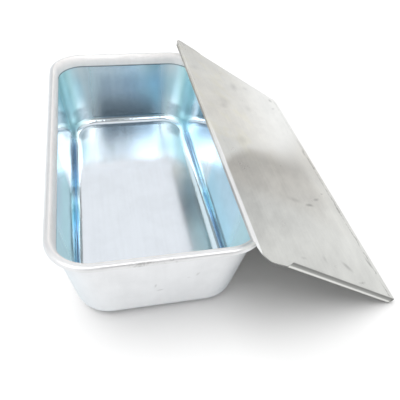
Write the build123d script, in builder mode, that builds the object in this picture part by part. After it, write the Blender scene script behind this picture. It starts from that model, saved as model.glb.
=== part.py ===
from build123d import *
from math import asin, atan2, cos, hypot, radians, sin, tan
import os

os.makedirs("parts", exist_ok=True)

# Everything is in millimetres, with +Z up. The origin is the centre of the pan's underside.
# Y runs along the pan. The lid leans on the rim's +X side.

# Sizes of the pan, which is drawn from one sheet. The opening is measured at the shoulder's foot.
opening_length = 216.0
opening_width = 110.0
pan_height = 61.5
pan_sheet = 1.0
wall_taper = 6.9
floor_radius = 7.0
floor_corner_radius = 21.0
opening_corner_radius = 19.0

# Sizes of the pan's rim: a steep shoulder above the wall, then a tight roll outwards
shoulder_height = 8.7
shoulder_reach = 3.3
roll_radius = 2.7
roll_skirt = 0.6

# Sizes of the lid, which is folded from one sheet
lid_sheet = 0.6
lid_bend_radius = 1.2
leading_lip_depth = 2.4
lip_end_slant = 3.4
channel_start = 26.5
channel_grip = 8.5
far_corner_radius = 8.0

# Sizes of the wings, which stay unfolded at the two leading corners and droop a little (degrees)
wing_width = 5.7
wing_taper = 1.6
wing_tail = 6.0
wing_droop = 10
wing_fold_radius = 5.0
wing_corner_radius = 10.0
wing_tail_radius = 3.0

# Clearances of the lid on the rim when it is slid home
end_clearance = 4.5
side_clearance = 0.1
channel_play = 0.7

# Rest pose of the lid, taken off and leant on the rim
lid_overhang = 18.0
lid_shift = -3.3
resting_gap = 0.3

# One overrun for all cuts
overrun = 5.0

# Places of the pan that follow from its sizes
shoulder_foot = pan_height - shoulder_height
rim_reach = shoulder_reach + roll_radius
rim_length = opening_length + 2 * rim_reach
rim_width = opening_width + 2 * rim_reach
half_opening_length = opening_length / 2
half_opening_width = opening_width / 2
roll_centre_x = half_opening_width + shoulder_reach
roll_centre_z = pan_height - roll_radius
roll_skirt_end = roll_centre_z - roll_skirt

# Places of the lid that follow from the rim it slides over
lid_length = rim_length + 2 * (end_clearance + lid_sheet)
lid_width = rim_width + 2 * (side_clearance + lid_sheet)
channel_depth = roll_radius + roll_skirt + channel_play + 2 * lid_sheet
half_lid_length = lid_length / 2
wing_edge = half_lid_length + wing_width
lip_half_length = wing_edge - wing_corner_radius

# Lean of the lid: its underside lies on the roll of the rim and its stop flange stands on z = 0
slope_run = lid_width - lid_overhang
slope_drop = channel_depth - lid_sheet - roll_radius - resting_gap
lean = asin(roll_centre_z / hypot(slope_run, slope_drop)) - atan2(slope_drop, slope_run)
top_above_roll = roll_radius + resting_gap + lid_sheet
leading_x = roll_centre_x + top_above_roll * sin(lean) - lid_overhang * cos(lean)
leading_z = roll_centre_z + top_above_roll * cos(lean) + lid_overhang * sin(lean)

# The lid's own frame: x down the slope from its leading edge, y along the pan, z out of its top
lid_frame = Plane(
    origin=(leading_x, lid_shift, leading_z),
    x_dir=(cos(lean), 0, -sin(lean)),
    z_dir=(sin(lean), 0, cos(lean)),
)


def on_lid(plane):
    """The same plane, carried into the lid's own frame."""
    return Plane(lid_frame.location * plane.location)


def wall_outline(height, sheet):
    """The pan's rounded outline at one height, grown outwards by a sheet."""
    height_share = height / shoulder_foot
    drawn_in = wall_taper * (1 - height_share)
    corner = floor_corner_radius + (opening_corner_radius - floor_corner_radius) * height_share
    RectangleRounded(
        opening_width + 2 * (sheet - drawn_in), opening_length + 2 * (sheet - drawn_in), corner + sheet
    )


# Hollow of the pan: walls that lean in, with a round edge at the floor
with BuildPart() as hollow:
    for height in (pan_sheet, shoulder_foot):
        with BuildSketch(Plane.XY.offset(height)):
            wall_outline(height, 0)
    loft(ruled=True)
    fillet(hollow.edges().group_by(Axis.Z)[0], radius=floor_radius)

# Rim of the pan: an oval shoulder, a tight roll and a short skirt, swept round half of the opening
with BuildPart() as rim:
    shoulder_centre = (roll_centre_x, shoulder_foot)
    roll_centre = (roll_centre_x, roll_centre_z)
    with BuildLine(Plane.XY.offset(shoulder_foot)) as rim_path:
        FilletPolyline(
            (half_opening_width, 0),
            (half_opening_width, half_opening_length),
            (-half_opening_width, half_opening_length),
            (-half_opening_width, 0),
            radius=opening_corner_radius,
        )
    with BuildSketch(Plane.XZ) as rim_section:
        with BuildLine():
            shoulder = EllipticalCenterArc(
                shoulder_centre, shoulder_reach, shoulder_height, start_angle=90, arc_size=90
            )
            roll = CenterArc(roll_centre, roll_radius, start_angle=0, arc_size=90)
            skirt = Line(roll @ 0, (roll_centre_x + roll_radius, roll_skirt_end))
            skirt_end = Line(skirt @ 1, (roll_centre_x + roll_radius - pan_sheet, roll_skirt_end))
            roll_inside = CenterArc(roll_centre, roll_radius - pan_sheet, start_angle=0, arc_size=90)
            Line(skirt_end @ 1, roll_inside @ 0)
            shoulder_outside = EllipticalCenterArc(
                shoulder_centre,
                shoulder_reach - pan_sheet,
                shoulder_height - pan_sheet,
                start_angle=90,
                arc_size=90,
            )
            Line(shoulder_outside @ 1, shoulder @ 1)
        make_face()
    sweep(sections=rim_section.sketch, path=rim_path.wire())
    mirror(about=Plane.XZ)

# Pan
with BuildPart() as pan:
    # Tub, one sheet thick all round
    for height in (0, shoulder_foot):
        with BuildSketch(Plane.XY.offset(height)):
            wall_outline(height, pan_sheet)
    loft(ruled=True)
    fillet(pan.edges().group_by(Axis.Z)[0], radius=floor_radius + pan_sheet)
    add(hollow.part, mode=Mode.SUBTRACT)

    # Rim on top of it
    add(rim.part)

# Lid
with BuildPart() as lid:
    # Front sheet, flat between two soft folds, with a wing that droops past each of them
    wing_reach = wing_edge + overrun
    wing_drop = (wing_reach - half_lid_length) * tan(radians(wing_droop))
    with BuildSketch(on_lid(Plane.YZ)):
        with BuildLine():
            FilletPolyline(
                (-wing_reach, -wing_drop),
                (-half_lid_length, 0),
                (half_lid_length, 0),
                (wing_reach, -wing_drop),
                radius=wing_fold_radius,
            )
            offset(amount=lid_sheet, side=Side.RIGHT)
        make_face()
    extrude(amount=channel_start)

    # Its plan: round leading corners, then wings that taper and run out where the channels start
    with BuildSketch(on_lid(Plane.XY.offset(overrun))):
        with BuildLine():
            front = FilletPolyline(
                (channel_start, -half_lid_length),
                (channel_start - wing_tail, wing_taper - wing_edge),
                (0, -wing_edge),
                (0, wing_edge),
                (channel_start - wing_tail, wing_edge - wing_taper),
                (channel_start, half_lid_length),
                radius=[wing_tail_radius, wing_corner_radius, wing_corner_radius, wing_tail_radius],
            )
            Line(front @ 1, front @ 0)
        make_face()
    extrude(amount=-2 * overrun, mode=Mode.INTERSECT)

    # Leading lip, bent down along the straight of the leading edge
    with BuildSketch(on_lid(Plane.XY)):
        Rectangle(lid_bend_radius, 2 * lip_half_length, align=(Align.MIN, Align.CENTER))
    extrude(amount=-lid_sheet, mode=Mode.SUBTRACT)
    with BuildSketch(on_lid(Plane.XZ)):
        with BuildLine():
            bend = CenterArc(
                (lid_bend_radius, -lid_bend_radius), lid_bend_radius, start_angle=90, arc_size=90
            )
            Line(bend @ 1, (0, -leading_lip_depth))
            offset(amount=lid_sheet, side=Side.LEFT)
        make_face()
    extrude(amount=lip_half_length, both=True)

    # Ends of the lip, cut off slantwise
    with BuildSketch(on_lid(Plane.YZ)):
        for side in (-1, 1):
            with BuildLine():
                Polyline(
                    (side * lip_half_length, 0),
                    (side * (lip_half_length - lip_end_slant), -leading_lip_depth),
                    (side * lip_half_length, -leading_lip_depth),
                    close=True,
                )
            make_face()
    extrude(amount=lid_bend_radius, mode=Mode.SUBTRACT)

    # Plate with a channel folded under each end, to run along the rims of the pan's ends
    with BuildSketch(on_lid(Plane.YZ.offset(channel_start))):
        with BuildLine():
            FilletPolyline(
                (channel_grip - half_lid_length, -channel_depth),
                (-half_lid_length, -channel_depth),
                (-half_lid_length, 0),
                (half_lid_length, 0),
                (half_lid_length, -channel_depth),
                (half_lid_length - channel_grip, -channel_depth),
                radius=lid_bend_radius,
            )
            offset(amount=lid_sheet, side=Side.RIGHT)
        make_face()
    extrude(amount=lid_width - lid_bend_radius - channel_start)

    # Stop flange along the trailing edge, a seam away from the ends of the channels
    with BuildSketch(on_lid(Plane.XZ)):
        with BuildLine():
            bend = CenterArc(
                (lid_width - lid_bend_radius, -lid_bend_radius), lid_bend_radius, start_angle=0, arc_size=90
            )
            Line((lid_width, -channel_depth), bend @ 0)
            offset(amount=lid_sheet, side=Side.LEFT)
        make_face()
    extrude(amount=half_lid_length, both=True)

    # Rounded trailing corner at the far end
    with BuildSketch(on_lid(Plane.XY.offset(overrun))):
        with Locations((lid_width - far_corner_radius, half_lid_length - far_corner_radius)):
            Rectangle(
                far_corner_radius + overrun, far_corner_radius + overrun, align=(Align.MIN, Align.MIN)
            )
            Circle(far_corner_radius, mode=Mode.SUBTRACT)
    extrude(amount=-channel_depth - 2 * overrun, mode=Mode.SUBTRACT)

pan.part.label = "pan"
lid.part.label = "lid"
for piece in (pan.part, lid.part):
    export_step(piece, f"parts/{piece.label}.step")
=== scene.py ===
import math
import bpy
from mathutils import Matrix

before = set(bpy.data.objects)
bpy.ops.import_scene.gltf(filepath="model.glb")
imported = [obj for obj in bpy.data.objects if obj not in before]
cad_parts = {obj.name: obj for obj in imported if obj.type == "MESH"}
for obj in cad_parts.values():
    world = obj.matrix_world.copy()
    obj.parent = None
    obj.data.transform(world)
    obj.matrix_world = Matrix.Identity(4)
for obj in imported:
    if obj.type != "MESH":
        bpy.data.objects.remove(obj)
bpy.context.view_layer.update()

from types import SimpleNamespace

import bpy
from mathutils import Matrix, Vector

bl_info = {
    "name": "Pullman loaf pan",
    "version": (1, 0, 0),
    "blender": (4, 5, 0),
    "location": "3D View > Sidebar > Loaf pan",
    "description": "Dresses the loaf pan and its lid, and sets their stage, light and camera",
    "category": "Object",
}

# Lengths are in metres. +Z is up, Y runs along the pan, and the lid leans on its right side, +X.
# The near end is the one at -Y and the far end the one at +Y.

# Height of the crease between the pan's walls and its shoulder
CREASE_HEIGHT = 0.0529

# Colours of the smaller places on the pan. Most of those inside are painted reflections of the
# surroundings, and the crease and fillet edge colours are painted shade
LEFT_WALL_HIGH_REFLECTION = (0.47, 0.62, 0.70)
LEFT_WALL_LOW_REFLECTION = (0.44, 0.77, 0.90)
END_WALL_RIGHT_REFLECTION = (0.66, 0.85, 1.0)
END_WALL_LEFT_REFLECTION = (0.92, 0.99, 1.0)
END_WALL_HIGH_REFLECTION = (0.94, 0.99, 1.0)
END_WALL_DARK_REFLECTION = (0.12, 0.18, 0.23)
LEFT_CORNER_REFLECTION = (0.54, 0.76, 0.82)
CORNER_FOOT_REFLECTION = (0.97, 1.0, 1.0)
SIDE_WALL_ENDS_REFLECTION = (0.76, 0.99, 1.0)
FLOOR_RIGHT_REFLECTION = (0.72, 0.87, 0.95)
CREASE_SHADE = (0.10, 0.13, 0.16)
FILLET_EDGE_SHADE = (0.14, 0.19, 0.23)
WORN_METAL = (0.40, 0.39, 0.38)
EDGE_TINT = (0.86, 0.93, 0.97)

# Scales of the streaks that drawing left in the pan, and of the lid's grain
DOWN_THE_WALLS = (260.0, 260.0, 9.0)
ALONG_THE_FLOOR = (420.0, 11.0, 30.0)
ALONG_THE_LID = (500.0, 14.0, 100.0)

# Where the near wall stands along the pan, and the dents in it: place across and above the
# ground, half length and half width, turn in degrees, strength
NEAR_WALL = -0.106
WALL_DENTS = (
    (-0.0038, 0.0290, 0.0030, 0.0010, 80.0, 0.38),
    (-0.0010, 0.0236, 0.0032, 0.0011, 10.0, 0.44),
    (0.0200, 0.0366, 0.0026, 0.0011, 60.0, 0.34),
    (0.0150, 0.0340, 0.0016, 0.0010, 0.0, 0.20),
)

# Colours of the smaller places on the lid; the lit colour goes on the bright painted reflection
# and the leading colour on the leading edge's painted highlight
LIT_SHEET = (0.655, 0.66, 0.648)
OLIVE_SHEET = (0.664, 0.650, 0.578)
NEAR_SHEET = (0.642, 0.648, 0.625)
LEADING_HIGHLIGHT = (0.655, 0.66, 0.665)

# The far side of the lid's painted dark reflection band: how far along the plate it is, as a
# cubic of how far down
BAND_CURVE = (120.0, -19.5, 1.528, -0.0501)

# How the lid's clouds lie on its plate: their turn, and how much longer than wide they are
CLOUD_TURN = math.radians(52.0)
CLOUD_STRETCH = 2.0

# Marks on the lid's plate: place down and along it, half length and half width, turn in degrees,
# strength
LID_MARKS = (
    (0.055, 0.087, 0.014, 0.0062, 60.0, 0.24),
    (0.031, 0.044, 0.013, 0.0090, 50.0, 0.17),
    (0.026, 0.034, 0.009, 0.0040, 52.0, 0.15),
    (0.061, 0.056, 0.011, 0.0055, 55.0, 0.13),
    (0.009, 0.078, 0.014, 0.0050, 48.0, 0.12),
    (0.111, 0.110, 0.006, 0.0034, 45.0, 0.50),
    (0.108, 0.093, 0.008, 0.0022, 42.0, 0.30),
    (0.073, 0.100, 0.009, 0.0032, 50.0, 0.12),
    (0.029, -0.008, 0.013, 0.0060, 52.0, 0.13),
    (0.117, 0.030, 0.007, 0.0022, 80.0, 0.28),
    (0.117, -0.040, 0.008, 0.0020, 85.0, 0.30),
    (0.060, -0.055, 0.011, 0.0038, 15.0, 0.17),
    (0.077, -0.053, 0.008, 0.0019, 24.0, 0.38),
    (0.091, -0.041, 0.008, 0.0020, 28.0, 0.28),
    (0.106, -0.028, 0.004, 0.0011, 30.0, 0.32),
    (0.083, -0.105, 0.007, 0.0034, -35.0, 0.30),
    (0.060, -0.107, 0.004, 0.0028, 70.0, 0.15),
    (0.038, -0.113, 0.004, 0.0016, 15.0, 0.16),
    (0.090, -0.116, 0.007, 0.0014, 20.0, 0.22),
    (0.116, -0.091, 0.007, 0.0020, -78.0, 0.50),
    (0.118, -0.064, 0.004, 0.0010, -80.0, 0.30),
)

# How far the edge of a mark wanders, and how deep a mark or dent reaches into the sheet
MARK_RAGGEDNESS = 0.006
SPOT_DEPTH = 0.02

# The one lamp
LAMP_DIRECTION = (0.33, -0.10, -0.94)
LAMP_SPREAD = math.radians(54.0)
LAMP_STRENGTH = 2.2

# The ground's colours: to the camera, to mirrored rays and to all other rays
WHITE = (1.0, 1.0, 1.0)
MIRRORED_GROUND = (0.45, 0.45, 0.45)
LIT_GROUND = (0.8, 0.8, 0.8)

# The ground's glow to mirrored rays and to the camera, and how far it looks for what covers it
MIRRORED_GLOW = 0.55
SEEN_GLOW = 0.01
COVER_REACH = 0.12

# The world's light on the object, its level to mirrored rays where no panel changes it, and the
# share of that level that is left for a mirrored ray that met a dull surface before
WORLD_LIGHT = 0.44
PLAIN_LEVEL = 0.95
SECOND_HAND_SHARE = 0.75

# The camera's sensor in millimetres and the nearest distance that it sees
SENSOR_WIDTH = 36.0
NEAREST_SEEN = 0.01


# Short calls for nodes


def opaque(colour):
    """A colour with full alpha."""
    return (*colour, 1.0)


class Nodes:
    """The nodes of one material or world, none at first. The functions below call theirs n."""

    def __init__(self, owner):
        owner.use_nodes = True
        self.tree = owner.node_tree
        self.tree.nodes.clear()

    def feed(self, socket, value):
        """Links a socket to the one that feeds it, or sets a number or colour on it."""
        if isinstance(value, bpy.types.NodeSocket):
            self.tree.links.new(value, socket)
        else:
            socket.default_value = value

    def add(self, kind, settings=None, **inputs):
        """A new node; its inputs go by name, or by number after an underscore."""
        node = self.tree.nodes.new(kind)
        for name, value in (settings or {}).items():
            setattr(node, name, value)
        for name, value in inputs.items():
            key = int(name[1:]) if name[0] == "_" else name.replace("_", " ")
            self.feed(node.inputs[key], value)
        return node

    def calc(self, operation, *values):
        """A Math node's result."""
        node = self.add("ShaderNodeMath", {"operation": operation})
        for socket, value in zip(node.inputs, values):
            self.feed(socket, value)
        return node.outputs[0]

    def product(self, *factors):
        """All the factors multiplied."""
        result, *others = factors
        for factor in others:
            result = self.calc("MULTIPLY", result, factor)
        return result

    def shift(self, value, share, amount):
        """A value with a share of an amount added to it."""
        return self.calc("MULTIPLY_ADD", share, amount, value)

    def distance(self, value, other):
        """How far apart two values are."""
        return self.calc("ABSOLUTE", self.calc("SUBTRACT", value, other))

    def spread(self, value, low, high, out_low=0.0, out_high=1.0):
        """A smooth step from one output to the other, as the value goes from low to high."""
        return self.add(
            "ShaderNodeMapRange", {"interpolation_type": "SMOOTHSTEP"}, Value=value,
            From_Min=low, From_Max=high, To_Min=out_low, To_Max=out_high,
        ).outputs["Result"]

    def within(self, value, rise, fall):
        """A smooth step up and a smooth step down again."""
        return self.product(self.spread(value, *rise), self.spread(value, *fall))

    def mix_colours(self, share, first, second):
        """A Mix node's colour."""
        return self.add(
            "ShaderNodeMix", {"data_type": "RGBA"}, _0=share, _6=first, _7=second
        ).outputs[2]

    def mix_numbers(self, share, first, second):
        """A Mix node's number."""
        return self.add("ShaderNodeMix", _0=share, _2=first, _3=second).outputs[0]

    def lay(self, colour, share, upper, amount=1.0):
        """A colour laid over another by a share of an amount."""
        if amount != 1.0:
            share = self.product(share, amount)
        return self.mix_colours(share, colour, opaque(upper))

    def place(self):
        """Where a point of the piece is, in the piece's own frame."""
        return self.add("ShaderNodeTexCoord").outputs["Object"]

    def facing(self):
        """The x, y and z of the way the surface faces."""
        return self.parts(self.add("ShaderNodeNewGeometry").outputs["Normal"])

    def parts(self, vector):
        """A vector's x, y and z."""
        return self.add("ShaderNodeSeparateXYZ", Vector=vector).outputs

    def mapped(self, vector, kind="POINT", **transform):
        """A Mapping node's result."""
        node = self.add("ShaderNodeMapping", {"vector_type": kind}, Vector=vector, **transform)
        return node.outputs[0]

    def vector_calc(self, operation, output, **inputs):
        """A Vector Math node's result."""
        node = self.add("ShaderNodeVectorMath", {"operation": operation}, **inputs)
        return node.outputs[output]

    def spot(self, vector, centre, turn, reach):
        """An oval spot, one in its middle and zero at its edge."""
        own = self.mapped(vector, "TEXTURE", Location=centre, Rotation=turn, Scale=reach)
        return self.spread(self.vector_calc("LENGTH", "Value", _0=own), 1.0, 0.0)

    def noise(self, vector, scale, detail, roughness):
        """A Noise texture's two results, a number and a colour."""
        node = self.add(
            "ShaderNodeTexNoise", Vector=vector, Scale=scale, Detail=detail, Roughness=roughness
        )
        return node.outputs["Fac"], node.outputs["Color"]

    def clouds(self, vector, scale, detail, roughness):
        """A Noise texture's number."""
        return self.noise(vector, scale, detail, roughness)[0]

    def streaks(self, vector, stretch):
        """A Noise texture's number, drawn out by a scale for each axis."""
        drawn = self.mapped(vector, Scale=stretch)
        return self.clouds(drawn, scale=1.0, detail=4.0, roughness=0.6)

    def toned(self, colour, tone):
        """A colour made lighter or darker."""
        return self.add("ShaderNodeHueSaturation", Color=colour, Value=tone).outputs[0]

    def bump(self, height, strength, distance, **under):
        """A Bump node's normal, on top of another if one is given."""
        node = self.add(
            "ShaderNodeBump", Height=height, Strength=strength, Distance=distance, **under
        )
        return node.outputs[0]

    def metal(self, colour, roughness, normal, **more):
        """The material's metal, joined to its output."""
        shader = self.add(
            "ShaderNodeBsdfPrincipled", Base_Color=colour, Metallic=1.0, Roughness=roughness,
            Normal=normal, **more,
        )
        self.add("ShaderNodeOutputMaterial", Surface=shader.outputs[0])


def dress(node, material):
    """Gives a CAD node its only material."""
    node.data.materials.clear()
    node.data.materials.append(material)


# Settings


class PanFinish(bpy.types.PropertyGroup):
    """Finish of the pan."""

    outside: bpy.props.FloatVectorProperty(
        name="Outside", description="Colour of the bare metal",
        subtype="COLOR", size=3, default=(0.90, 0.905, 0.915),
    )
    shoulder: bpy.props.FloatVectorProperty(
        name="Shoulder", description="Colour of the satin shoulder under the rim",
        subtype="COLOR", size=3, default=(1.0, 0.98, 0.97),
    )
    floor: bpy.props.FloatVectorProperty(
        name="Floor", description="Colour of the polished floor",
        subtype="COLOR", size=3, default=(0.82, 0.87, 0.93),
    )
    # The wall, middle, corner and fillet colours below are painted reflections of the
    # surroundings, in tints of teal, blue and white
    left_wall: bpy.props.FloatVectorProperty(
        name="Left wall", description="Colour of the long wall away from the lid, inside",
        subtype="COLOR", size=3, default=(0.43, 0.76, 0.77),
    )
    right_wall: bpy.props.FloatVectorProperty(
        name="Right wall", description="Colour of the long wall under the lid, inside",
        subtype="COLOR", size=3, default=(0.64, 0.86, 0.96),
    )
    end_walls: bpy.props.FloatVectorProperty(
        name="End walls", description="Colour of the short walls inside",
        subtype="COLOR", size=3, default=(0.76, 0.85, 0.91),
    )
    middle_reflection: bpy.props.FloatVectorProperty(
        name="Burnished", description="Colour of the paler middle of the long walls",
        subtype="COLOR", size=3, default=(0.97, 0.97, 0.98),
    )
    # A painted reflection, this teal colours the corners and the ends' flanks inside
    corners: bpy.props.FloatVectorProperty(
        name="Corners", description="Colour of the burnished corners inside",
        subtype="COLOR", size=3, default=(0.70, 0.90, 0.95),
    )
    fillet: bpy.props.FloatVectorProperty(
        name="Fillet", description="Colour of the round edge between a long wall and the floor",
        subtype="COLOR", size=3, default=(0.40, 0.60, 0.84),
    )
    thread: bpy.props.FloatVectorProperty(
        name="Thread", description="Colour of the thin dark lines that run along the fillet",
        subtype="COLOR", size=3, default=(0.14, 0.30, 0.44),
    )
    roughness: bpy.props.FloatProperty(
        name="Roughness", description="Roughness outside",
        default=0.38, min=0.0, max=1.0, subtype="FACTOR",
    )
    polish: bpy.props.FloatProperty(
        name="Polish", description="Roughness of the polished hollow",
        default=0.08, min=0.0, max=1.0, subtype="FACTOR",
    )


class LidFinish(bpy.types.PropertyGroup):
    """Finish of the lid."""

    warm: bpy.props.FloatVectorProperty(
        name="Warm", description="Colour where the sheet looks warm",
        subtype="COLOR", size=3, default=(0.665, 0.65, 0.605),
    )
    cool: bpy.props.FloatVectorProperty(
        name="Cool", description="Colour where the sheet looks cool",
        subtype="COLOR", size=3, default=(0.64, 0.645, 0.62),
    )
    # A painted reflection, this colours the darker band across the plate
    band_reflection: bpy.props.FloatVectorProperty(
        name="Worn", description="Colour of the duller band across the plate",
        subtype="COLOR", size=3, default=(0.672, 0.64, 0.585),
    )
    roughness: bpy.props.FloatProperty(
        name="Roughness", description="Roughness of the satin sheet",
        default=0.32, min=0.0, max=1.0, subtype="FACTOR",
    )
    lean: bpy.props.FloatProperty(
        name="Lean", description="How far the plate is tipped",
        default=math.radians(33.035), unit="ROTATION",
    )
    leading_edge: bpy.props.FloatVectorProperty(
        name="Leading edge", description="Middle of the plate's upper edge",
        size=3, unit="LENGTH", default=(0.045172, -0.0033, 0.071631),
    )


class StageSettings(bpy.types.PropertyGroup):
    """Floor, light and camera."""

    floor_size: bpy.props.FloatProperty(
        name="Floor size", description="Side of the square floor",
        default=6.0, min=1.0, unit="LENGTH",
    )
    azimuth: bpy.props.FloatProperty(
        name="Azimuth", description="Camera's turn about the vertical",
        default=math.radians(-15.88), unit="ROTATION",
    )
    elevation: bpy.props.FloatProperty(
        name="Elevation", description="Camera's height above the horizon",
        default=math.radians(43.37), unit="ROTATION",
    )
    roll: bpy.props.FloatProperty(
        name="Roll", description="Camera's turn about its own axis",
        default=math.radians(5.65), unit="ROTATION",
    )
    place: bpy.props.FloatVectorProperty(
        name="Camera place", description="Where the camera stands",
        size=3, unit="LENGTH", default=(-0.026752, -0.260369, 0.245244),
    )
    lens: bpy.props.FloatProperty(
        name="Lens", description="Focal length in millimetres for a 36 mm sensor",
        default=41.523, min=10.0,
    )


# Pan


def pan_areas(n):
    """The pan's places and the shares of its surface, by place and by the way it faces."""
    area = SimpleNamespace(place=n.place())
    x, y, z = area.x, area.y, area.z = n.parts(area.place)
    facing_x, facing_y, area.up = n.facing()
    area.inward = n.calc(
        "ADD",
        n.product(n.calc("SIGN", x), facing_x),
        n.product(n.calc("SIGN", y), facing_y),
    )
    area.hollow = n.product(
        n.calc("MAXIMUM", n.spread(area.inward, 0.0, -0.2), n.spread(area.up, 0.3, 0.6)),
        n.spread(z, CREASE_HEIGHT + 0.0003, CREASE_HEIGHT - 0.0003),
    )
    area.shoulder = n.product(
        n.spread(z, CREASE_HEIGHT + 0.0001, CREASE_HEIGHT + 0.0007),
        n.spread(area.inward, -0.05, -0.3),
    )

    # inside: long walls, end walls, corners, the ends' flanks and the round edge by the floor
    sideways = n.calc("ABSOLUTE", facing_x)
    area.endways = n.calc("ABSOLUTE", facing_y)
    area.side = n.spread(sideways, 0.35, 0.9)
    area.end = n.spread(area.endways, 0.75, 0.98)
    area.corner = n.spread(n.product(sideways, area.endways, 2.0), 0.15, 0.7)
    area.off_centre = n.calc("ABSOLUTE", x)
    area.flank = n.product(area.end, n.spread(area.off_centre, 0.024, 0.040))
    area.side_end = n.product(area.side, n.spread(n.calc("ABSOLUTE", y), 0.062, 0.080))
    area.side_middle = n.within(y, (-0.012, 0.0), (0.080, 0.062))
    area.side_fillet = n.product(n.within(area.up, (0.2, 0.4), (0.85, 0.6)), area.side)
    return area


def side_colour(n, finish, area):
    """The long walls, tinted with painted reflections: teal on the left, blue on the right, with
    a paler middle.
    """
    x, y, z = area.x, area.y, area.z
    colour = n.mix_colours(
        n.spread(x, -0.03, 0.03), opaque(finish.left_wall), opaque(finish.right_wall)
    )
    # painted reflections, high and low on the near part of the left wall
    near_left = n.product(n.spread(x, 0.0, -0.02), n.spread(y, 0.0, -0.03))
    high = n.product(near_left, n.spread(z, 0.034, 0.052, 0.0, 0.8))
    low = n.product(near_left, n.spread(z, 0.030, 0.012, 0.0, 0.7))
    colour = n.lay(colour, high, LEFT_WALL_HIGH_REFLECTION)
    colour = n.lay(colour, low, LEFT_WALL_LOW_REFLECTION)
    return n.lay(colour, area.side_middle, finish.middle_reflection)


def fillet_colour(n, finish, area, colour):
    """The round edge below the long walls: bluer as a painted reflection, with thin dark lines
    along it.
    """
    # on the right, the paler painted reflection of the walls' middle keeps some of the fillet's
    # blue away
    middle_reflection_share = n.product(area.side_middle, n.spread(area.x, 0.0, 0.03), 0.45)
    tinted = n.product(area.side_fillet, n.calc("SUBTRACT", 1.0, middle_reflection_share))
    colour = n.lay(colour, tinted, finish.fillet)
    drawn_out = n.add(
        "ShaderNodeCombineXYZ", X=n.product(area.up, 16.0), Y=n.product(area.y, 9.0)
    ).outputs[0]
    threads = n.spread(n.clouds(drawn_out, scale=1.0, detail=2.0, roughness=0.5), 0.50, 0.62)
    return n.lay(colour, n.product(threads, area.side_fillet), finish.thread, amount=0.6)


def hollow_colour(n, finish, area):
    """The inside of the pan below its crease, tinted with painted reflections."""
    x, y, z = area.x, area.y, area.z
    # the end walls turn bluer to the right, a painted reflection
    colour = n.lay(opaque(finish.end_walls), n.spread(x, -0.01, 0.03), END_WALL_RIGHT_REFLECTION)
    colour = n.mix_colours(area.side, colour, side_colour(n, finish, area))
    colour = n.lay(colour, area.corner, finish.corners)
    colour = fillet_colour(n, finish, area, colour)
    colour = n.lay(colour, area.flank, finish.corners)

    # painted reflections of what the walls mirror, by place, some lighter and the far end's deep
    # part darker
    end_left = n.product(area.end, n.spread(x, -0.018, -0.028))
    colour = n.lay(colour, end_left, END_WALL_LEFT_REFLECTION, amount=0.7)
    left_corner = n.product(area.corner, n.spread(x, -0.034, -0.042))
    colour = n.lay(colour, left_corner, LEFT_CORNER_REFLECTION, amount=0.8)
    foot = n.product(n.calc("MAXIMUM", area.corner, area.flank), n.spread(z, 0.030, 0.014))
    colour = n.lay(colour, foot, CORNER_FOOT_REFLECTION, amount=0.7)
    colour = n.lay(colour, area.side_end, SIDE_WALL_ENDS_REFLECTION, amount=0.9)
    end_high = n.product(area.end, n.spread(z, 0.036, 0.052))
    colour = n.lay(colour, end_high, END_WALL_HIGH_REFLECTION, amount=0.8)
    far_end_dark_reflection = n.product(
        area.end, n.spread(z, 0.040, 0.008), n.spread(area.off_centre, 0.036, 0.018),
        n.spread(y, 0.0, 0.02),
    )
    colour = n.lay(colour, far_end_dark_reflection, END_WALL_DARK_REFLECTION, amount=0.80)

    # a painted reflection of the right wall tints the floor beside it
    ground = n.lay(opaque(finish.floor), n.spread(x, 0.026, 0.042), FLOOR_RIGHT_REFLECTION)
    return n.mix_colours(n.spread(area.up, 0.6, 0.97), colour, ground)


def draw_lines(n, area, colour):
    """Painted shade: dark lines in the crease, and thinner ones where the round edge meets wall
    and floor.
    """
    at_crease = n.spread(n.distance(area.z, CREASE_HEIGHT), 0.0007, 0.0002)
    crease = n.product(at_crease, n.spread(area.inward, -0.3, -0.6))
    colour = n.lay(colour, crease, CREASE_SHADE, amount=0.75)
    at_wall = n.product(
        n.spread(n.distance(area.up, 0.22), 0.06, 0.02), n.spread(area.endways, 0.3, 0.7)
    )
    at_floor = n.product(
        n.spread(n.distance(area.up, 0.955), 0.022, 0.008), n.spread(area.y, 0.070, 0.082)
    )
    lines = n.product(
        n.calc("MAXIMUM", at_wall, at_floor), n.spread(area.z, 0.020, 0.016), area.hollow
    )
    return n.lay(colour, lines, FILLET_EDGE_SHADE, amount=0.55)


def wear_near_end(n, area, colour):
    """Small dents in the near wall, and a dull band with scuffs along the near end's roll."""
    x, y, z = area.x, area.y, area.z
    for across, height, length, width, turn, strength in WALL_DENTS:
        dent = n.spot(
            area.place, (across, NEAR_WALL, height), (0.0, math.radians(-turn), 0.0),
            (length, SPOT_DEPTH, width),
        )
        colour = n.lay(colour, dent, WORN_METAL, amount=strength)
    band = n.product(n.spread(y, -0.1126, -0.1137), n.spread(x, -0.060, -0.030, 0.0, 0.17))
    colour = n.lay(colour, band, WORN_METAL)
    scuffs = n.spread(n.clouds(area.place, scale=260.0, detail=4.0, roughness=0.65), 0.46, 0.60)
    rubbed = n.product(
        n.spread(y, -0.1108, -0.1125), n.within(z, (0.0555, 0.0575), (0.0613, 0.0603)),
        n.within(x, (-0.022, -0.012), (0.012, 0.002)),
    )
    return n.lay(colour, n.product(scuffs, rubbed), WORN_METAL, amount=0.5)


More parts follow.
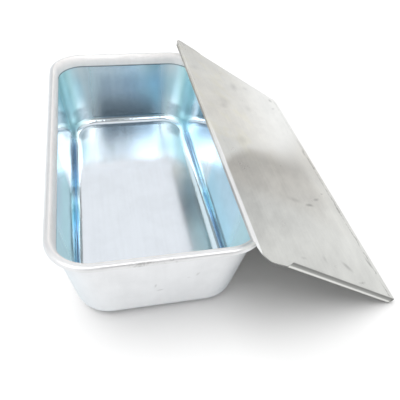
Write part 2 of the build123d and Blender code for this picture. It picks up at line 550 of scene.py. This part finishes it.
class LOAFPAN_OT_pan(bpy.types.Operator):
    """Gives the pan its bright metal"""

    bl_idname = "loafpan.pan"
    bl_label = "Pan"

    def execute(self, context):
        finish = context.scene.pan_finish
        material = bpy.data.materials.new("bright_aluminium")
        n = Nodes(material)
        area = pan_areas(n)
        outside = n.mix_colours(area.shoulder, opaque(finish.outside), opaque(finish.shoulder))
        colour = n.mix_colours(area.hollow, outside, hollow_colour(n, finish, area))
        colour = draw_lines(n, area, colour)
        colour = wear_near_end(n, area, colour)

        # drawing streaks, down the walls and along the floor, and soft smudges
        streaks = n.mix_numbers(
            n.spread(area.up, 0.5, 0.9), n.streaks(area.place, DOWN_THE_WALLS),
            n.streaks(area.place, ALONG_THE_FLOOR),
        )
        smudges = n.clouds(area.place, scale=38.0, detail=4.0, roughness=0.6)
        tone = n.calc(
            "ADD", n.spread(streaks, 0.3, 0.7, 0.985, 1.01),
            n.spread(smudges, 0.35, 0.7, 0.0, -0.05),
        )

        # a polished hollow, duller in its drawn corners, and satin metal outside
        polish = n.calc("ADD", finish.polish, n.spread(streaks, 0.35, 0.75, 0.0, 0.03))
        worked = n.calc("MAXIMUM", n.calc("MAXIMUM", area.corner, area.flank), area.side_end)
        polish = n.shift(polish, worked, 0.28)
        polish = n.calc("ADD", polish, n.spread(area.up, 0.8, 0.97, 0.0, 0.05))
        polish = n.calc("ADD", polish, n.spread(area.endways, 0.7, 0.97, 0.0, 0.07))
        satin = n.calc("ADD", finish.roughness, n.spread(smudges, 0.35, 0.7, -0.04, 0.08))
        satin = n.shift(satin, area.shoulder, 0.34)

        waves = n.clouds(area.place, scale=17.0, detail=1.0, roughness=0.4)
        ripple = n.bump(waves, strength=0.35, distance=0.0012)
        grain = n.bump(streaks, strength=0.02, distance=0.0002, Normal=ripple)
        rough = n.mix_numbers(area.hollow, satin, polish)
        n.metal(n.toned(colour, tone), rough, grain, Specular_Tint=opaque(EDGE_TINT))
        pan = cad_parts["pan"]
        dress(pan, material)
        return {"FINISHED"}


# Lid


def lid_sheet(n, finish):
    """Places on the lid in its own frame, the way it faces, and the unevenness of its sheet."""
    sheet = SimpleNamespace()
    sheet.plate = n.mapped(
        n.place(), "TEXTURE", Location=finish.leading_edge, Rotation=(0.0, finish.lean, 0.0)
    )
    sheet.down, sheet.along, sheet.above = n.parts(sheet.plate)
    _, sheet.facing_y, sheet.up = n.facing()
    slanted = n.mapped(
        sheet.plate, "TEXTURE", Rotation=(0.0, 0.0, CLOUD_TURN), Scale=(CLOUD_STRETCH, 1.0, 1.0)
    )
    sheet.clouds, sheet.clouded = n.noise(slanted, scale=52.0, detail=5.0, roughness=0.62)
    sheet.flaws = n.clouds(sheet.plate, scale=120.0, detail=4.0, roughness=0.7)
    sheet.grain = n.streaks(sheet.plate, ALONG_THE_LID)
    return sheet


def dark_and_bright_reflections(n, sheet):
    """Shares of a painted dark reflection band across the plate and of the painted bright
    reflection on its far side.
    """
    down, along = sheet.down, sheet.along

    # the band's far side, sharp at the top of the plate and softer below
    curve, *terms = BAND_CURVE
    for term in terms:
        curve = n.shift(term, curve, down)
    curve = n.calc("ADD", curve, n.spread(sheet.clouds, 0.2, 0.8, -0.004, 0.004))
    past_curve = n.calc("SUBTRACT", along, curve)
    softness = n.shift(0.0046, n.product(down, down), 3.8)
    side = n.calc("DIVIDE", past_curve, softness)

    dark_reflection = n.product(
        n.spread(side, 1.0, -1.0), n.spread(past_curve, -0.0936, -0.0085),
        n.spread(down, 0.112, 0.088, 0.31, 1.0),
    )
    bright = n.product(
        n.spread(n.shift(down, along, -0.223), 0.007, 0.0884), n.spread(side, -0.754, 0.3)
    )
    return dark_reflection, bright


def lid_tint(n, finish, sheet, dark_reflection, bright, leading):
    """The sheet's colour before its light and dark."""
    plate, down, along = sheet.plate, sheet.down, sheet.along
    drift = n.spread(n.clouds(plate, scale=9.0, detail=2.0, roughness=0.5), 0.35, 0.65)
    tint = n.mix_colours(drift, opaque(finish.warm), opaque(finish.cool))
    # painted reflections: the dark band and the bright part beyond it
    tint = n.lay(tint, dark_reflection, finish.band_reflection, amount=0.7)
    tint = n.lay(tint, bright, LIT_SHEET, amount=0.9)
    olive = n.product(
        n.spread(n.clouds(plate, scale=45.0, detail=3.0, roughness=0.6), 0.48, 0.62),
        n.spread(down, 0.075, 0.035), n.spread(along, -0.050, -0.010),
    )
    tint = n.lay(tint, olive, OLIVE_SHEET, amount=0.8)
    tint = n.lay(tint, n.spread(along, -0.055, -0.080), NEAR_SHEET)
    # the leading edge's painted highlight
    return n.lay(tint, leading, LEADING_HIGHLIGHT)


def mark_plate(n, sheet, tone):
    """Handling marks with ragged edges."""
    ragged = n.vector_calc("SCALE", "Vector", _0=sheet.clouded, Scale=MARK_RAGGEDNESS)
    marked = n.vector_calc("ADD", "Vector", _0=sheet.plate, _1=ragged)
    middle = MARK_RAGGEDNESS / 2
    for down, along, length, width, turn, strength in LID_MARKS:
        mark = n.spot(
            marked, (down + middle, along + middle, middle), (0.0, 0.0, math.radians(turn)),
            (length, width, SPOT_DEPTH),
        )
        tone = n.shift(tone, mark, -strength)
    return tone


def mark_edges(n, sheet, tone):
    """Painted shade: the uneven dark line where the sheet was folded down, and its darker
    outline.
    """
    down, along, flaws = sheet.down, sheet.along, sheet.flaws
    from_fold = n.distance(down, n.spread(flaws, 0.3, 0.7, 0.1164, 0.1194))
    fold = n.product(
        n.spread(from_fold, 0.0013, 0.0004), n.spread(flaws, 0.40, 0.54),
        n.spread(along, 0.055, 0.015, 0.35, 1.0),
    )
    tone = n.shift(tone, fold, -0.42)
    outline = n.calc(
        "MAXIMUM", n.spread(along, 0.1163, 0.1180), n.spread(down, 0.1217, 0.1228)
    )
    return n.shift(tone, outline, n.spread(flaws, 0.35, 0.6, -0.08, -0.26))


def shade_folds(n, sheet, tone, leading):
    """Painted light and shade on the channels' webs, the underside, the leading edge and its
    lip.
    """
    down, along, above = sheet.down, sheet.along, sheet.above

    # painted shade: a channel's web is darkened, with a painted highlight band along it
    webs = n.spread(n.calc("ABSOLUTE", sheet.facing_y), 0.6, 0.9)
    bands = n.calc(
        "SUBTRACT", n.spread(above, -0.0024, -0.0036),
        n.spread(above, -0.0040, -0.0052, 0.0, 0.4),
    )
    webbed = n.shift(0.48, bands, 0.75)
    webbed = n.calc("ADD", webbed, n.spread(above, -0.0022, -0.0012, 0.0, -0.12))
    tone = n.mix_numbers(webs, tone, webbed)

    # painted light and shade: the underside is lighter by the leading edge and at the near end,
    # and darker away from them
    under = n.spread(sheet.up, -0.4, -0.7)
    tone = n.shift(tone, under, n.spread(down, 0.030, 0.060, 0.40, -0.30))
    tone = n.shift(tone, under, n.spread(along, 0.045, 0.008, -0.17, 0.22))

    # painted highlight on the leading edge and the lip's face, and painted shade at the lip's
    # dark foot
    tone = n.shift(tone, leading, 0.55)
    lip = n.product(n.spread(down, 0.0016, 0.0008), n.spread(sheet.up, 0.0, 0.4))
    tone = n.shift(tone, lip, 0.3)
    lip_foot_shade = n.product(n.spread(down, 0.0012, 0.0006), n.spread(above, -0.0006, -0.0015))
    return n.calc("MINIMUM", n.shift(tone, lip_foot_shade, -0.80), 1.5)


class LOAFPAN_OT_lid(bpy.types.Operator):
    """Gives the lid its satin metal"""

    bl_idname = "loafpan.lid"
    bl_label = "Lid"

    def execute(self, context):
        finish = context.scene.lid_finish
        material = bpy.data.materials.new("satin_aluminium")
        n = Nodes(material)
        sheet = lid_sheet(n, finish)
        down, along = sheet.down, sheet.along
        dark_reflection, bright = dark_and_bright_reflections(n, sheet)
        # painted light and shade: a lit patch near the trailing edge at the near end, and a dim
        # one by the leading edge at the far end
        lit = n.product(
            n.spread(down, 0.080, 0.108), n.within(along, (-0.108, -0.090), (-0.038, -0.060))
        )
        dim = n.product(n.spread(down, 0.045, 0.010), n.spread(along, 0.070, 0.112))
        # the leading edge's bend, which carries a painted highlight
        leading = n.product(
            n.spread(down, 0.0028, 0.0016), n.spread(along, 0.0, -0.04, 0.1, 1.0)
        )

        tone = n.calc(
            "ADD", n.spread(sheet.clouds, 0.3, 0.7, 0.92, 1.11),
            n.spread(sheet.grain, 0.3, 0.7, -0.02, 0.02),
        )
        for share, amount in ((dark_reflection, -0.365), (bright, 0.329), (lit, 0.10), (dim, -0.06)):
            tone = n.shift(tone, share, amount)
        tone = mark_plate(n, sheet, tone)
        tone = mark_edges(n, sheet, tone)
        tone = shade_folds(n, sheet, tone, leading)
        colour = n.toned(lid_tint(n, finish, sheet, dark_reflection, bright, leading), tone)

        rough = n.calc("ADD", finish.roughness, n.spread(sheet.clouds, 0.3, 0.7, -0.05, 0.06))
        waves = n.clouds(sheet.plate, scale=14.0, detail=1.0, roughness=0.4)
        ripple = n.bump(waves, strength=0.3, distance=0.001)
        brushed = n.bump(sheet.grain, strength=0.08, distance=0.0002, Normal=ripple)
        n.metal(colour, rough, brushed)
        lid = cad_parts["lid"]
        dress(lid, material)
        return {"FINISHED"}


# Stage


def ground_material():
    """A white ground that holds the object's shadow and glows a little to mirrored rays."""
    material = bpy.data.materials.new("white_floor")
    n = Nodes(material)
    path = n.add("ShaderNodeLightPath")
    seen = path.outputs["Is Camera Ray"]
    direct = n.calc("LESS_THAN", path.outputs["Diffuse Depth"], 0.5)
    mirrored = n.product(path.outputs["Is Glossy Ray"], direct)
    colour = n.mix_colours(seen, opaque(LIT_GROUND), opaque(WHITE))
    colour = n.lay(colour, mirrored, MIRRORED_GROUND)
    cover = n.add("ShaderNodeAmbientOcclusion", {"samples": 8}, Distance=COVER_REACH)
    glowing = n.product(mirrored, n.spread(cover.outputs["AO"], 0.16, 0.40))
    glow = n.shift(n.product(seen, SEEN_GLOW), glowing, MIRRORED_GLOW)
    plain = n.add("ShaderNodeBsdfDiffuse", Color=colour).outputs[0]
    lit = n.add("ShaderNodeEmission", Strength=glow).outputs[0]
    both = n.add("ShaderNodeAddShader", _0=plain, _1=lit)
    n.add("ShaderNodeOutputMaterial", Surface=both.outputs[0])
    return material


def studio_level(n):
    """How bright the studio is to mirrored rays, by their rise and their turn from the front."""
    x, y, z = n.parts(n.add("ShaderNodeTexCoord").outputs["Generated"])
    rise = n.calc("DEGREES", n.calc("ARCSINE", z))
    turn = n.calc("DEGREES", n.calc("ARCTAN2", x, n.product(y, -1.0)))
    off = n.calc("ABSOLUTE", turn)

    # dark strips low in front and low behind, a bright box in front with a gap in it, bright
    # flanks beside the box, and a darker strip high in front
    low_front = n.product(n.within(rise, (0.0, 5.0), (33.0, 25.0)), n.spread(off, 42.0, 18.0))
    low_back = n.product(n.within(rise, (20.0, 25.0), (34.0, 29.5)), n.spread(off, 95.0, 128.0))
    from_gap = n.calc("ABSOLUTE", n.calc("DIVIDE", n.calc("SUBTRACT", turn, 2.7), 9.0))
    gap = n.spread(n.calc("SUBTRACT", 1.0, from_gap), 0.68, 0.58, -0.5, 1.0)
    box = n.product(n.within(rise, (36.5, 40.0), (58.0, 54.0)), n.spread(off, 66.0, 56.0), gap)
    flanks = n.product(
        n.within(rise, (20.0, 26.0), (41.0, 37.0)), n.within(off, (26.0, 36.0), (80.0, 68.0))
    )
    high_front = n.product(n.within(rise, (55.0, 60.0), (80.0, 70.0)), n.spread(off, 75.0, 50.0))
    level = PLAIN_LEVEL
    for share, amount in (
        (low_front, -0.55), (low_back, -0.66), (box, 1.65), (flanks, 1.55), (high_front, -0.50),
    ):
        level = n.shift(level, share, amount)
    return level


def studio_world():
    """A plain world, white to the camera, with panels that only mirrored rays see."""
    world = bpy.data.worlds.new("studio")
    n = Nodes(world)
    path = n.add("ShaderNodeLightPath")
    mirrored = n.calc(
        "MAXIMUM", path.outputs["Is Glossy Ray"], path.outputs["Is Transmission Ray"]
    )
    direct = n.calc("LESS_THAN", path.outputs["Diffuse Depth"], 0.5)
    level = n.product(studio_level(n), n.spread(direct, 0.0, 1.0, SECOND_HAND_SHARE, 1.0))
    plain = n.mix_numbers(path.outputs["Is Camera Ray"], WORLD_LIGHT, 1.0)
    strength = n.mix_numbers(mirrored, plain, level)
    background = n.add("ShaderNodeBackground", Color=opaque(WHITE), Strength=strength)
    n.add("ShaderNodeOutputWorld", Surface=background.outputs[0])
    return world


def hang_lamp(scene):
    """One broad lamp overhead, which no mirrored ray sees."""
    lamp = bpy.data.lights.new("overhead", "SUN")
    lamp.angle = LAMP_SPREAD
    lamp.energy = LAMP_STRENGTH
    hung = bpy.data.objects.new("overhead", lamp)
    scene.collection.objects.link(hung)
    hung.rotation_euler = Vector(LAMP_DIRECTION).to_track_quat("-Z", "Y").to_euler()
    hung.visible_glossy = False


def stand_camera(scene, settings):
    """The camera, turned about the vertical, raised and then rolled."""
    azimuth, elevation = settings.azimuth, settings.elevation
    back = Vector((
        math.sin(azimuth) * math.cos(elevation),
        -math.cos(azimuth) * math.cos(elevation),
        math.sin(elevation),
    ))
    right = Vector((0.0, 0.0, 1.0)).cross(back).normalized()
    up = back.cross(right)
    cosine, sine = math.cos(settings.roll), math.sin(settings.roll)
    right, up = cosine * right + sine * up, cosine * up - sine * right
    camera = bpy.data.cameras.new("camera")
    camera.sensor_width = SENSOR_WIDTH
    camera.lens = settings.lens
    camera.clip_start = NEAREST_SEEN
    stand = bpy.data.objects.new("camera", camera)
    scene.collection.objects.link(stand)
    stand.matrix_world = Matrix((right, up, back)).transposed().to_4x4()
    stand.location = settings.place
    scene.camera = stand


class LOAFPAN_OT_stage(bpy.types.Operator):
    """Lays the floor, hangs the lamp and stands the camera"""

    bl_idname = "loafpan.stage"
    bl_label = "Stage"

    def execute(self, context):
        scene = context.scene
        settings = scene.stage_settings
        bpy.ops.object.select_all(action="DESELECT")
        bpy.ops.mesh.primitive_plane_add(size=settings.floor_size)
        floor = context.object
        floor.name = "floor"
        floor.data.materials.append(ground_material())

        scene.world = studio_world()
        hang_lamp(scene)
        scene.view_settings.view_transform = "Standard"
        stand_camera(scene, settings)
        return {"FINISHED"}


class LOAFPAN_PT_sidebar(bpy.types.Panel):
    """Lists what dresses the loaf pan"""

    bl_idname = "LOAFPAN_PT_sidebar"
    bl_label = "Loaf pan"
    bl_space_type = "VIEW_3D"
    bl_region_type = "UI"
    bl_category = "Loaf pan"

    def draw(self, context):
        scene = context.scene
        for group in (scene.pan_finish, scene.lid_finish, scene.stage_settings):
            box = self.layout.box()
            for name in group.__annotations__:
                box.prop(group, name)
        for operator in OPERATORS:
            self.layout.operator(operator.bl_idname)


GROUPS = (PanFinish, LidFinish, StageSettings)
OPERATORS = (LOAFPAN_OT_pan, LOAFPAN_OT_lid, LOAFPAN_OT_stage)
CLASSES = (*GROUPS, *OPERATORS, LOAFPAN_PT_sidebar)


def register():
    for cls in CLASSES:
        bpy.utils.register_class(cls)
    bpy.types.Scene.pan_finish = bpy.props.PointerProperty(type=PanFinish)
    bpy.types.Scene.lid_finish = bpy.props.PointerProperty(type=LidFinish)
    bpy.types.Scene.stage_settings = bpy.props.PointerProperty(type=StageSettings)


def unregister():
    del bpy.types.Scene.pan_finish
    del bpy.types.Scene.lid_finish
    del bpy.types.Scene.stage_settings
    for cls in reversed(CLASSES):
        bpy.utils.unregister_class(cls)


def main():
    register()
    bpy.ops.loafpan.pan()
    bpy.ops.loafpan.lid()
    bpy.ops.loafpan.stage()


if __name__ == "__main__":
    main()
